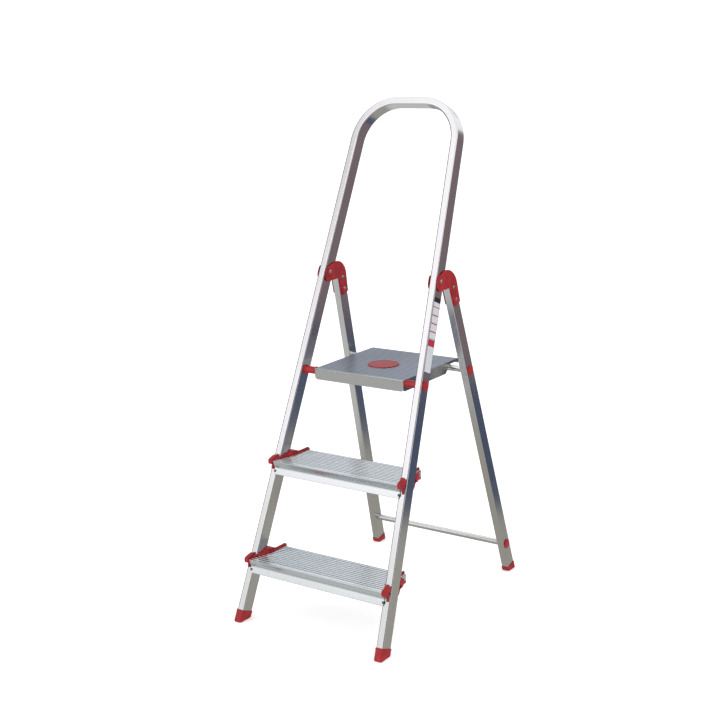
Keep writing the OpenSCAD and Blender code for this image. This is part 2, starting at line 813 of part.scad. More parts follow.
bar_hook(-1);  // bar_hook_left
bar_hook(1);  // bar_hook_right
hook_rivets();
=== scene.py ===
"""Looks of the folding step ladder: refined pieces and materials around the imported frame.

Sizes are in millimetres. x is to the right, y to the back, z up.
"""
import math

import bmesh
import bpy
from mathutils import Matrix, Vector

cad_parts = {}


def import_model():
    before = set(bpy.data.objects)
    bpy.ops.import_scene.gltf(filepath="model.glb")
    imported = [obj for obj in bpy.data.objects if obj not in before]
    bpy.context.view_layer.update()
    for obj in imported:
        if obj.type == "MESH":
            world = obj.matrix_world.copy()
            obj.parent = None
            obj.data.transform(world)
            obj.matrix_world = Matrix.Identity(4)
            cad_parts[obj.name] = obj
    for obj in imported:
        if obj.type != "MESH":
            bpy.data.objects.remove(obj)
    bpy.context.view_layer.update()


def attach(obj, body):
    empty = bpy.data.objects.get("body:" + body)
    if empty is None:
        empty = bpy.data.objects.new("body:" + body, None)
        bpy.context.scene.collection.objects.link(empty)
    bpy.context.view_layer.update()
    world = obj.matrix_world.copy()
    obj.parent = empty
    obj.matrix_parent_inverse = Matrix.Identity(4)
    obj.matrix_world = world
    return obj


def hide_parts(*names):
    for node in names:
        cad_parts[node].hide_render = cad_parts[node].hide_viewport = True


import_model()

MM = 0.001
scene = bpy.context.scene
scene.view_settings.view_transform = "Standard"

# ---- sizes; the first block repeats the part's source ----

STANCE, HALF_WIDTH, TAPER = 686.0, 227.0, 0.0545
FRONT_LEAN, REAR_LEAN = math.radians(22.5), math.radians(15.4)
RAIL_W, RAIL_D, RAIL_CORNER, RAIL_LENGTH, BOW_RADIUS = 20.0, 38.0, 3.5, 1411.0, 110.0
LEG_D, LEG_CORNER = 33.0, 2.0
TREAD_LEVELS = {"lower": 160.5, "upper": 400.5}
TREAD_D, TREAD_NOSE, TREAD_RIBS, RIB_MARGIN = 125.0, 23.0, 12, 10.0
PLATFORM_Z, PLATFORM_D, PLATFORM_W, SKIRT_H, PLATFORM_RIBS = 626.0, 272.0, 272.0, 28.5, 23
HINGE_Z, PLATE_T, HINGE_PLAY = 860.0, 4.0, 1.2
BAR_R, LOWER_BAR_Z, UPPER_BAR_Z = 8.0, 83.0, 608.0
FOOT_WALL, GAP = 2.0, 0.15
FASCIA_H, LIP_H, LIP_T = 22.5, 15.5, 2.4
RIB_H, TREAD_T, TREAD_FLANGE, TREAD_END, WEB_T = 1.0, 2.0, 24.0, 13.5, 3.0
TRAY_WALL = 1.6
CAP_R = 13.0

# details of the refined pieces
TRAY_BEAD, TRAY_RIBS_START, TRAY_PLAIN = 5.5, 8.0, 12.0
SIDE_INSET, FRONT_SOCKET, REAR_SOCKET = 1.2, 33.5, 12.5
NOSE_R, SCREW_DROP, SCREW_INSET, LIP_RIVET_INSET = 1.6, 16.5, 3.6, 3.5
WEB_DEPTH = 53.5
HOOK_X, HOOK_W, SEAT_R, HOOK_RIVET_DX = 96.0, 26.0, 8.3, 8.0
BADGE_BACK = PLATFORM_D / 2 - 18
LOBE_R, LOBE_BACK, LOBE_FRONT, PIN_HEAD_R = 18.8, 1.5, -7.0, 5.4
LEG_RIVETS_S = (-37.5, -71.0)
STICKER_LEVELS = (656.0, 830.0)

FRONT_Y = -STANCE / 2 + FOOT_WALL / math.cos(FRONT_LEAN)
REAR_Y = STANCE / 2 - (LEG_D + FOOT_WALL) / math.cos(REAR_LEAN)
FRONT_SPLAY = math.atan(TAPER * math.cos(FRONT_LEAN))
REAR_SPLAY = math.atan(TAPER * math.cos(REAR_LEAN))
RAIL_X = HALF_WIDTH - RAIL_W / 2
RAIL_CUT = RAIL_D / math.cos(FRONT_LEAN)
SIDES = {"left": -1, "right": 1}


def rail_front_y(z):
    return FRONT_Y + z * math.tan(FRONT_LEAN)


def rail_axis_y(z):
    return rail_front_y(z) + RAIL_CUT / 2


def outer_x(z):
    return HALF_WIDTH - z * TAPER


def inner_x(z):
    return outer_x(z) - RAIL_W / math.cos(FRONT_SPLAY)


def leg_axis_y(z):
    return REAR_Y - z * math.tan(REAR_LEAN) + LEG_D / 2 / math.cos(REAR_LEAN)


HINGE_Y = rail_axis_y(HINGE_Z)
PIVOT_N = (HINGE_Y - REAR_Y) * math.cos(REAR_LEAN) + HINGE_Z * math.sin(REAR_LEAN)
PIVOT_S = HINGE_Z * math.cos(REAR_LEAN) - (HINGE_Y - REAR_Y) * math.sin(REAR_LEAN)
HINGE_OFFSET = LEG_D / 2 - PIVOT_N
TRAY_PIVOT_Z = PLATFORM_Z - 9
TRAY_PIVOT_Y = rail_axis_y(TRAY_PIVOT_Z)
TRAY_FRONT_Y = TRAY_PIVOT_Y - 11

FRONT_PLANE = Matrix.Translation((0, FRONT_Y, 0)) @ Matrix.Rotation(-FRONT_LEAN, 4, "X")
RAIL_FRAME = (FRONT_PLANE @ Matrix.Translation((RAIL_X, RAIL_D / 2, 0))
              @ Matrix.Rotation(-FRONT_SPLAY, 4, "Y"))
REAR_PLANE = Matrix.Translation((0, REAR_Y, 0)) @ Matrix.Rotation(REAR_LEAN, 4, "X")
LEG_FRAME = REAR_PLANE @ Matrix.Translation((RAIL_X, LEG_D / 2, 0)) @ Matrix.Rotation(-REAR_SPLAY, 4, "Y")
# maps (x, y, z) of an outline in the yz plane to world axes: outline x to y, outline y to z, depth to x
SIDEWAYS = Matrix(((0, 0, 1, 0), (1, 0, 0, 0), (0, 1, 0, 0), (0, 0, 0, 1)))
MIRROR = Matrix.Scale(-1, 4, (1, 0, 0))


def at_rail_level(z):
    return RAIL_FRAME @ Matrix.Translation((0, 0, z / math.cos(FRONT_LEAN) / math.cos(FRONT_SPLAY)))


# ---- mesh helpers ----

def rounded_polygon(corners, radii, steps=4):
    """A polygon whose corners are each replaced by a curve of steps + 1 points."""
    count = len(corners)
    radii = radii if hasattr(radii, "__len__") else [radii] * count
    points = []
    for i, corner in enumerate(corners):
        here = Vector(corner)
        before = Vector(corners[i - 1]) - here
        after = Vector(corners[(i + 1) % count]) - here
        angle = before.angle(after)
        reach = min(radii[i] / math.tan(angle / 2), before.length * 0.48, after.length * 0.48)
        start, end = here + before.normalized() * reach, here + after.normalized() * reach
        for k in range(steps + 1):
            t = k / steps
            points.append((1 - t) ** 2 * start + 2 * t * (1 - t) * here + t * t * end)
    return points


def arc(centre, radius, start, end, steps):
    """Points on an arc, with its angles in degrees."""
    angles = [math.radians(start + (end - start) * k / steps) for k in range(steps + 1)]
    return [Vector((centre[0] + radius * math.cos(a), centre[1] + radius * math.sin(a))) for a in angles]


def inset(points, distance):
    """The outline moved inwards by distance, corner by corner."""
    moved = []
    for i, here in enumerate(points):
        before = (here - points[i - 1]).normalized()
        after = (points[(i + 1) % len(points)] - here).normalized()
        normal = Vector((-(before.y + after.y), before.x + after.x))
        if normal.length < 1e-6:
            normal = Vector((-before.y, before.x))
        normal.normalize()
        share = max(0.5, normal.dot(Vector((-before.y, before.x))))
        moved.append(here + normal * (distance / share))
    return moved


def section(width, depth, radius, steps=6):
    """A rounded rectangle with extra points beside its corners, so that its flats shade flat."""
    guard = min(0.5, radius * 0.3)
    w, d = width / 2, depth / 2
    points = []
    for cx, cy, start in ((w - radius, d - radius, 0), (radius - w, d - radius, 90),
                          (radius - w, radius - d, 180), (w - radius, radius - d, 270)):
        bend = arc((cx, cy), radius, start, start + 90, steps)
        first = Vector((-math.sin(math.radians(start)), math.cos(math.radians(start))))
        last = Vector((-math.sin(math.radians(start + 90)), math.cos(math.radians(start + 90))))
        points += [bend[0] - first * guard] + bend + [bend[-1] + last * guard]
    return points


class Shape:
    """A mesh under construction, in millimetres, with a UV map whose v runs along each sweep."""

    def __init__(self):
        self.bm = bmesh.new()
        self.uv = self.bm.loops.layers.uv.new("along")

    def loft(self, loops, slots=None):
        """Joins loops of equally many points, given in world space, into a skin closed at both ends."""
        rows = [[self.bm.verts.new(p) for p in loop] for loop in loops]
        count = len(rows[0])
        centres = [sum(loop, Vector((0, 0, 0))) / count for loop in loops]
        v = 0.0
        for a, (low, high) in enumerate(zip(rows, rows[1:])):
            step = (centres[a + 1] - centres[a]).length
            u = 0.0
            for i in range(count):
                j = (i + 1) % count
                width = (loops[a][j] - loops[a][i]).length
                face = self.bm.faces.new((low[i], low[j], high[j], high[i]))
                face.material_index = slots[i] if slots else 0
                corners = ((u, v), (u + width, v), (u + width, v + step), (u, v + step))
                for loop, where in zip(face.loops, corners):
                    loop[self.uv].uv = (where[0] * MM, where[1] * MM)
                u += width
            v += step
        self.bm.faces.new(list(reversed(rows[0])))
        self.bm.faces.new(rows[-1])
        return self

    def sweep(self, outline, places, slots=None):
        """Carries a flat outline through a list of 4x4 places."""
        return self.loft([[m @ Vector((p.x, p.y, 0)) for p in outline] for m in places], slots=slots)

    def plate(self, outline, low, high, edge, place, steps=3):
        """A flat plate from low to high along the place's z, with rounded edges."""
        levels = []
        for k in range(steps + 1):
            a = math.pi / 2 * k / steps
            levels.append((low + edge * (1 - math.sin(a)), edge * (1 - math.cos(a))))
        levels = sorted(levels) + sorted([(low + high - z, d) for z, d in levels])
        loops = []
        for z, d in levels:
            shape = inset(outline, d) if d > 1e-9 else outline
            loops.append([place @ Vector((p.x, p.y, z)) for p in shape])
        return self.loft(loops)

    def lathe(self, profile, place, count):
        """Turns (radius, height) points round the place's z axis."""
        loops = []
        for radius, height in profile:
            ring = []
            for i in range(count):
                a = 2 * math.pi * i / count
                ring.append(place @ Vector((radius * math.cos(a), radius * math.sin(a), height)))
            loops.append(ring)
        return self.loft(loops)

    def mirrored(self):
        """Adds the same shape on the left."""
        copy = bmesh.ops.duplicate(self.bm, geom=self.bm.verts[:] + self.bm.edges[:] + self.bm.faces[:])
        verts = [g for g in copy["geom"] if isinstance(g, bmesh.types.BMVert)]
        faces = [g for g in copy["geom"] if isinstance(g, bmesh.types.BMFace)]
        bmesh.ops.transform(self.bm, matrix=MIRROR, verts=verts)
        bmesh.ops.reverse_faces(self.bm, faces=faces)
        return self

    def flip_to(self, side):
        """Moves the shape to the left if side is negative."""
        if side < 0:
            bmesh.ops.transform(self.bm, matrix=MIRROR, verts=self.bm.verts[:])
            bmesh.ops.reverse_faces(self.bm, faces=self.bm.faces[:])
        return self

    def piece(self, name, body, materials, replaces, slot, sharp=38):
        """Turns the shape into a piece that rides on a body and stands for CAD nodes."""
        bm = self.bm
        bmesh.ops.recalc_face_normals(bm, faces=bm.faces[:])
        bmesh.ops.transform(bm, matrix=Matrix.Scale(MM, 4), verts=bm.verts[:])
        limit = math.radians(sharp)
        for face in bm.faces:
            face.smooth = True
        for edge in bm.edges:
            edge.smooth = len(edge.link_faces) == 2 and edge.calc_face_angle(0) < limit
        mesh = bpy.data.meshes.new(name)
        bm.to_mesh(mesh)
        bm.free()
        for material in materials:
            mesh.materials.append(material)
        made = bpy.data.objects.new(name, mesh)
        scene.collection.objects.link(made)
        weighted = made.modifiers.new("even_shading", "WEIGHTED_NORMAL")
        weighted.keep_sharp = True
        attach(made, body)
        if replaces:
            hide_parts(*replaces)
        return made


def along_x(x, y, z):
    """A place whose z axis points to +x."""
    return Matrix.Translation((x, y, z)) @ Matrix.Rotation(math.pi / 2, 4, "Y")


def domed_head(radius, height, lip=0.35, under=0.6):
    """Profile of a rivet head that stands on height 0."""
    profile = [(radius * 0.6, -under), (radius - 0.15, -under * 0.2), (radius, lip * 0.4), (radius, lip)]
    for k in range(1, 7):
        a = math.pi / 2 * k / 6.3
        profile.append((radius * math.cos(a), lip + (height - lip) * math.sin(a)))
    return profile


# ---- shader helpers ----

def new_material(name):
    material = bpy.data.materials.new(name)
    material.use_nodes = True
    tree = material.node_tree
    return material, tree, tree.nodes["Principled BSDF"]


def node(tree, kind, inputs=None, **values):
    made = tree.nodes.new(kind)
    for key, value in values.items():
        setattr(made, key, value)
    for key, value in (inputs or {}).items():
        if isinstance(value, bpy.types.NodeSocket):
            tree.links.new(value, made.inputs[key])
        else:
            made.inputs[key].default_value = value
    return made


def stretched(tree, source, scale):
    coordinates = node(tree, "ShaderNodeTexCoord")
    mapping = node(tree, "ShaderNodeMapping", {"Vector": coordinates.outputs[source], "Scale": scale})
    return mapping.outputs["Vector"]


def noise(tree, source, scale, size, detail=3.0, rough=0.5):
    made = node(tree, "ShaderNodeTexNoise", {"Vector": stretched(tree, source, scale), "Scale": size,
                                             "Detail": detail, "Roughness": rough})
    return made.outputs["Fac"]


def ranged(tree, value, low, high, to_low, to_high):
    made = node(tree, "ShaderNodeMapRange", {"Value": value, "From Min": low, "From Max": high,
                                             "To Min": to_low, "To Max": to_high})
    return made.outputs["Result"]


def calc(tree, operation, a, b):
    return node(tree, "ShaderNodeMath", {0: a, 1: b}, operation=operation).outputs[0]


def aluminium(name, colour, roughness, grain_scale, tone=0.08, bump=0.03, cloud=7.0):
    """Drawn or rolled aluminium: fine streaks along the metal, soft patches and small scuffs."""
    material, tree, shader = new_material(name)
    shader.inputs["Metallic"].default_value = 1
    streaks = noise(tree, "UV", grain_scale, 1.0, 4.0, 0.6)
    patches = noise(tree, "Object", (1, 1, 1), cloud, 3.0)
    scuffs = noise(tree, "Object", (1, 1, 1), 95.0, 4.0, 0.6)
    worn = ranged(tree, scuffs, 0.60, 0.74, 0.0, 1.0)
    mixed = calc(tree, "ADD", calc(tree, "MULTIPLY", streaks, 0.55), calc(tree, "MULTIPLY", patches, 0.45))
    shade = ranged(tree, mixed, 0.35, 0.65, 1 - tone, 1.0)
    shade = calc(tree, "SUBTRACT", shade, calc(tree, "MULTIPLY", worn, tone * 0.5))
    colours = node(tree, "ShaderNodeVectorMath", {0: colour}, operation="SCALE")
    tree.links.new(shade, colours.inputs["Scale"])
    tree.links.new(colours.outputs["Vector"], shader.inputs["Base Color"])
    rough = calc(tree, "ADD", ranged(tree, mixed, 0.35, 0.65, roughness * 0.92, roughness * 1.1),
                 calc(tree, "MULTIPLY", worn, 0.03))
    tree.links.new(rough, shader.inputs["Roughness"])
    relief = node(tree, "ShaderNodeBump", {"Height": streaks, "Strength": bump, "Distance": 0.0006})
    tree.links.new(relief.outputs["Normal"], shader.inputs["Normal"])
    return material


def plastic(name, dark, light, roughness=0.42):
    """Moulded plastic: a fine matt grain, cloudy colour and pale scuffs."""
    material, tree, shader = new_material(name)
    shader.inputs["Specular IOR Level"].default_value = 0.32
    grain = noise(tree, "Object", (1, 1, 1), 900.0, 3.0)
    cloudy = noise(tree, "Object", (1, 1, 1), 38.0, 3.0)
    speckle = noise(tree, "Object", (1, 1, 1), 330.0, 5.0, 0.7)
    both = calc(tree, "ADD", calc(tree, "MULTIPLY", cloudy, 0.55), calc(tree, "MULTIPLY", speckle, 0.45))
    ramp = node(tree, "ShaderNodeValToRGB", {"Fac": both})
    ramp.color_ramp.elements[0].position = 0.36
    ramp.color_ramp.elements[0].color = (*dark, 1)
    ramp.color_ramp.elements[1].position = 0.64
    ramp.color_ramp.elements[1].color = (*light, 1)
    tree.links.new(ramp.outputs["Color"], shader.inputs["Base Color"])
    rough = ranged(tree, both, 0.35, 0.65, roughness * 0.85, roughness * 1.2)
    tree.links.new(rough, shader.inputs["Roughness"])
    relief = node(tree, "ShaderNodeBump", {"Height": grain, "Strength": 0.12, "Distance": 0.0003})
    tree.links.new(relief.outputs["Normal"], shader.inputs["Normal"])
    return material


def steel(name, colour, roughness):
    material, tree, shader = new_material(name)
    shader.inputs["Metallic"].default_value = 1
    spangle = noise(tree, "Object", (1, 1, 1), 700.0, 4.0)
    shade = node(tree, "ShaderNodeVectorMath", {0: colour}, operation="SCALE")
    tree.links.new(ranged(tree, spangle, 0.3, 0.7, 0.82, 1.0), shade.inputs["Scale"])
    tree.links.new(shade.outputs["Vector"], shader.inputs["Base Color"])
    rough = ranged(tree, spangle, 0.3, 0.7, roughness * 0.7, roughness * 1.3)
    tree.links.new(rough, shader.inputs["Roughness"])
    return material


def sticker_film():
    """Blank printed film: pale panels with red bars and one dark panel, without any lettering."""
    material, tree, shader = new_material("sticker_film")
    coordinates = node(tree, "ShaderNodeTexCoord")
    parts = node(tree, "ShaderNodeSeparateXYZ", {"Vector": coordinates.outputs["UV"]})
    ramp = node(tree, "ShaderNodeValToRGB", {"Fac": parts.outputs["Y"]})
    ramp.color_ramp.interpolation = "CONSTANT"
    pale, grey = (0.62, 0.64, 0.68, 1), (0.4, 0.42, 0.46, 1)
    red, dark = (0.45, 0.02, 0.04, 1), (0.02, 0.02, 0.025, 1)
    bands = [(0.0, pale), (0.34, red), (0.43, grey), (0.45, pale), (0.53, red), (0.545, pale), (0.64, red),
             (0.655, pale), (0.75, red), (0.765, pale), (0.86, red), (0.875, pale), (0.93, dark)]
    stops = ramp.color_ramp.elements
    stops[0].position, stops[0].color = bands[0]
    stops[1].position, stops[1].color = bands[-1]
    for position, colour in bands[1:-1]:
        stop = stops.new(position)
        stop.color = colour
    print_tone = noise(tree, "UV", (6, 60, 1), 1.0, 2.0)
    tone = ranged(tree, print_tone, 0.35, 0.65, 0.78, 1.0)
    shade = node(tree, "ShaderNodeVectorMath", {0: ramp.outputs["Color"]}, operation="SCALE")
    tree.links.new(tone, shade.inputs["Scale"])
    tree.links.new(shade.outputs["Vector"], shader.inputs["Base Color"])
    tree.links.new(ranged(tree, print_tone, 0.3, 0.7, 0.25, 0.4), shader.inputs["Roughness"])
    return material


RAIL = aluminium("rail_aluminium", (0.80, 0.80, 0.81), 0.20, (1500, 7, 1))
LEG = aluminium("leg_aluminium", (0.78, 0.78, 0.78), 0.24, (1500, 7, 1))
TREAD = aluminium("tread_aluminium", (0.79, 0.82, 0.84), 0.25, (1500, 7, 1), tone=0.05, bump=0.02)
# the tread's groove floors: the tread metal made dark, painted shade in the grooves
TREAD_GROOVE_SHADE = aluminium("tread_groove_shade", (0.21, 0.25, 0.27), 0.45, (900, 9, 1), tone=0.12)
TRAY = aluminium("platform_aluminium", (0.56, 0.56, 0.55), 0.27, (1500, 7, 1), tone=0.05, bump=0.02)
# the pan's top: a darker, bluer copy of the pan's metal, painted shade on its top
TRAY_TOP_SHADE = aluminium("platform_top_shade", (0.34, 0.37, 0.43), 0.33, (1500, 7, 1), tone=0.06, bump=0.02)
# the pan's groove floors: near-black metal, painted shade in the grooves
TRAY_GROOVE_SHADE = aluminium("platform_groove_shade", (0.09, 0.10, 0.13), 0.45, (900, 9, 1), tone=0.12)
STEEL = steel("zinc_steel", (0.75, 0.75, 0.76), 0.22)
DARK_STEEL = steel("dark_steel", (0.16, 0.16, 0.17), 0.3)
RED = plastic("red_plastic", (0.24, 0.008, 0.012), (0.42, 0.016, 0.022))
STICKER = sticker_film()


# ---- rails and legs ----

def rail_places():
    """Places along the bent tube, from the right foot over the top to the left foot."""
    bow_s = RAIL_LENGTH - RAIL_W / 2 - BOW_RADIUS
    bend_s = bow_s + BOW_RADIUS * math.sin(FRONT_SPLAY)
    bow_x = RAIL_X - bend_s * math.tan(FRONT_SPLAY) - BOW_RADIUS * math.cos(FRONT_SPLAY)
    straight = bend_s / math.cos(FRONT_SPLAY)
    line = []
    for k in range(41):
        t = 20 + (straight - 20) * k / 40
        line.append((RAIL_X - t * math.sin(FRONT_SPLAY), t * math.cos(FRONT_SPLAY), FRONT_SPLAY))
    for k in range(1, 37):
        a = FRONT_SPLAY + (math.pi / 2 - FRONT_SPLAY) * k / 36
        line.append((bow_x + BOW_RADIUS * math.cos(a), bow_s + BOW_RADIUS * math.sin(a), a))
    half = line + [(0, RAIL_LENGTH - RAIL_W / 2, math.pi / 2)]
    other = [(-x, s, math.pi - a) for x, s, a in reversed(line)]
    places = []
    for x, s, a in half + other:
        out = Vector((math.cos(a), 0, math.sin(a)))
        ahead = Vector((-math.sin(a), 0, math.cos(a)))
        turn = Matrix((out, (0, 1, 0), ahead)).transposed().to_4x4()
        places.append(FRONT_PLANE @ Matrix.Translation((x, RAIL_D / 2, s)) @ turn)
    return places


def make_rails():
    Shape().sweep(section(RAIL_W, RAIL_D, RAIL_CORNER), rail_places()).piece(
        "hand_rail_loop", "front_frame", [RAIL], ["rail_loop"], "aluminium_rail")
    top = PIVOT_S - 14
    for name, side in SIDES.items():
        shape = Shape()
        outline = section(RAIL_W, LEG_D, LEG_CORNER)
        bore = section(RAIL_W - 2.8, LEG_D - 2.8, LEG_CORNER - 1.4)
        levels = [5 + (top - 5) * k / 24 for k in range(25)]
        loops = [[LEG_FRAME @ Vector((p.x, p.y, s)) for p in outline] for s in levels]
        loops += [[LEG_FRAME @ Vector((p.x, p.y, s)) for p in bore] for s in (top, top - 40)]
        shape.loft(loops)
        shape.flip_to(side).piece(f"rear_leg_tube_{name}", "rear_frame", [LEG], [f"rear_leg_{name}"],
                                  "aluminium_rail")


def make_crossbars():
    for name, z in (("lower", LOWER_BAR_Z), ("upper", UPPER_BAR_Z)):
        reach = outer_x(z) - SIDE_INSET
        ring = arc((0, 0), BAR_R, 0, 360, 40)[:-1]
        places = [along_x(-reach + 2 * reach * k / 16, leg_axis_y(z), z) for k in range(17)]
        Shape().sweep(ring, places).piece(f"{name}_bar_tube", "rear_frame", [LEG], [f"{name}_crossbar"],
                                          "aluminium_rail")


# ---- feet ----

def foot_loops(place, width, depth, top):
    """Loops of a foot from its level sole up to the edge of its socket."""
    loops = []
    bottom = [(0.0, 3.4), (0.25, 2.0), (0.9, 0.95), (2.0, 0.28), (3.4, 0.0)]
    for height, shrink in bottom:
        corner = max(1.2, RAIL_CORNER + FOOT_WALL - shrink)
        outline = section(width - 2 * shrink, depth - 2 * shrink, corner)
        loop = []
        for p in outline:
            low = place @ Vector((p.x, p.y, 0))
            ahead = (place @ Vector((p.x, p.y, 1))) - low
            loop.append(low + ahead * ((height - low.z) / ahead.z))
        loops.append(loop)
    rim = [(5.2, 0.0), (4.6, -0.35), (1.4, -0.4), (0.4, -0.05), (0, 0.6), (0, FOOT_WALL - GAP),
           (3, FOOT_WALL - GAP)]
    for below, shrink in rim:
        outline = section(width - 2 * shrink, depth - 2 * shrink, RAIL_CORNER + FOOT_WALL - shrink)
        loops.append([place @ Vector((p.x, p.y, top - below)) for p in outline])
    return loops


def make_feet():
    for name, side in SIDES.items():
        wide, deep = RAIL_W + 2 * FOOT_WALL, RAIL_D + 2 * FOOT_WALL
        front = Shape().loft(foot_loops(RAIL_FRAME, wide, deep, FRONT_SOCKET))
        front.flip_to(side).piece(f"front_foot_cap_{name}", "front_frame", [RED], [f"front_foot_{name}"],
                                  "red_plastic")
        rear = Shape().loft(foot_loops(LEG_FRAME, wide, LEG_D + 2 * FOOT_WALL, REAR_SOCKET))
        rear.flip_to(side).piece(f"rear_foot_cap_{name}", "rear_frame", [RED], [f"rear_foot_{name}"],
                                 "red_plastic")


# ---- treads ----

FASCIA_BACK = TREAD_NOSE - LIP_T - FASCIA_H * math.tan(FRONT_LEAN) - GAP
LIP_BACK = FASCIA_BACK - LIP_H * math.tan(FRONT_LEAN)
RIB_PITCH = (TREAD_D - RIB_MARGIN) / TREAD_RIBS


def rib_line(first, count, pitch, start, end, height):
    """Top line of a ribbed sheet from end to start, going forwards, as (y, z) points."""
    points = []
    for i in reversed(range(first, first + count)):
        left = start + i * pitch
        width = pitch * 0.5
        points += [(left + width + 0.35, -height), (left + width - 0.1, -0.30), (left + width - 0.6, 0.0),
                   (left + 0.6, 0.0), (left + 0.1, -0.30), (left - 0.35, -height)]
    return [(y, z) for y, z in points if end[0] <= y <= end[1]]


def groove_slots(outline, top_slot=0):
    """Material slot of each side of a ribbed profile: 1 on the groove floors, which carry painted shade,
    top_slot on the rest of the top.
    """
    slots = []
    for i, here in enumerate(outline):
        there = outline[(i + 1) % len(outline)]
        floor = abs(here.y + RIB_H) < 0.01 and abs(there.y + RIB_H) < 0.01
        slots.append(1 if floor else top_slot if min(here.y, there.y) > -RIB_H - 0.01 else 0)
    return slots


def tread_front_profile():
    """Nose, fascia and lip, and the first ribs, counter-clockwise from the lip's lower edge."""
    cut = 22.6
    under = -RIB_H - TREAD_T
    lip_z = -FASCIA_H - LIP_H
    lip_front = LIP_BACK + LIP_T
    outline = [(LIP_BACK + 0.5, lip_z - 0.1), (lip_front - 0.5, lip_z - 0.1), (lip_front, lip_z + 0.6),
               (FASCIA_BACK + LIP_T, -FASCIA_H), (4.4, under - 1.6), (5.4, under), (cut, under), (cut, 0.0)]
    outline += rib_line(0, 2, RIB_PITCH, RIB_MARGIN, (4, cut), RIB_H)
    outline += [(3.7, -0.85), (2.9, -0.35), (1.9, -0.05), (0.8, -0.25), (0.15, -0.95), (0.0, -1.9),
                (0.25, -2.9), (1.05, -3.6), (1.45, -4.4)]
    outline += [(FASCIA_BACK - 0.1, -FASCIA_H + 1.2), (FASCIA_BACK - 0.35, -FASCIA_H - 0.2),
                (FASCIA_BACK - 0.75, -FASCIA_H - 1.2), (LIP_BACK - 0.1, lip_z + 1.6),
                (LIP_BACK, lip_z + 0.5)]
    return [Vector(p) for p in outline]


def tread_rear_profile():
    """The ribbed sheet behind the rails' front faces, with its stiffeners and rear flange."""
    under = -RIB_H - TREAD_T
    outline = [(22.3, under)]
    for share in (0.35, 0.65):
        y = share * TREAD_D
        outline += [(y, under), (y, -14), (y + TREAD_T, -14), (y + TREAD_T, under)]
    back = TREAD_D - TREAD_T
    outline += [(back, under), (back, -TREAD_FLANGE + TREAD_T), (TREAD_D - 10, -TREAD_FLANGE + TREAD_T),
                (TREAD_D - 10, -TREAD_FLANGE), (TREAD_D - 0.8, -TREAD_FLANGE),
                (TREAD_D, -TREAD_FLANGE + 0.8), (TREAD_D, -RIB_H - 0.9), (TREAD_D - 0.9, -RIB_H)]
    outline += rib_line(1, TREAD_RIBS - 1, RIB_PITCH, RIB_MARGIN, (22.3, TREAD_D - 1), RIB_H)
    outline.append((22.3, 0.0))
    return [Vector(p) for p in outline]


def make_treads():
    for name, z in TREAD_LEVELS.items():
        nose = Matrix.Translation((0, rail_front_y(z) - TREAD_NOSE, z))
        shape = Shape()
        for outline, reach in ((tread_front_profile(), outer_x(z) - TREAD_END),
                               (tread_rear_profile(), inner_x(z) - WEB_T - 0.3)):
            stations = [-reach + 2 * reach * k / 12 for k in range(13)]
            shape.sweep(outline, [nose @ Matrix.Translation((x, 0, 0)) @ SIDEWAYS for x in stations],
                        groove_slots(outline))
        shape.piece(f"{name}_tread_extrusion", "front_frame", [TREAD, TREAD_GROOVE_SHADE], [f"{name}_tread"],
                    "tread_aluminium", sharp=30)


# ---- tread brackets ----

def strip_sections(inner):
    """Cross-sections of the bracket's strip, from the tread's nose to behind its rear edge."""
    # y from the nose, inner and outer x from the rail's inner face, height over the tread
    rows = [
        (9.0, 6.4, 12.0, 3.2), (13.0, 5.8, 12.0, 5.4), (18.0, 4.0, 12.0, 6.8), (22.6, 1.6, 9.0, 7.4),
        (28.0, -1.6, -0.2, 7.0), (34.0, -4.6, -0.2, 6.8), (40.0, -7.6, -0.2, 7.0), (47.0, -9.8, -0.2, 7.8),
        (54.0, -11.4, -0.2, 8.4), (61.0, -12.6, -0.2, 8.8), (68.0, -13.6, -0.6, 8.8),
        (74.0, -14.3, -2.0, 8.2), (80.0, -15.0, -5.0, 6.8), (86.0, -15.6, -8.6, 6.0),
        (93.0, -16.2, -10.2, 5.3), (103.0, -16.9, -10.5, 5.1), (115.0, -17.1, -10.5, 5.2),
        (125.0, -17.2, -10.5, 5.2), (129.5, -17.0, -10.7, 4.6), (132.0, -16.0, -11.6, 2.6)]
    loops = []
    for y, low_x, high_x, top in rows:
        span = high_x - low_x
        foot = min(2.4, top * 0.6)
        shoulder = min(2.2, span * 0.4)
        corners = [(low_x, -2.0), (high_x, -9.5), (high_x, top), (high_x - shoulder - span * 0.12, top),
                   (low_x, foot)]
        if y > 84:
            corners[0] = (low_x, -9.5)
        ring = rounded_polygon(corners, [0.4, 0.6, 1.3, 2.0, 1.0], 4)
        loops.append([Vector((inner + p.x, y, p.y)) for p in ring])
    return loops


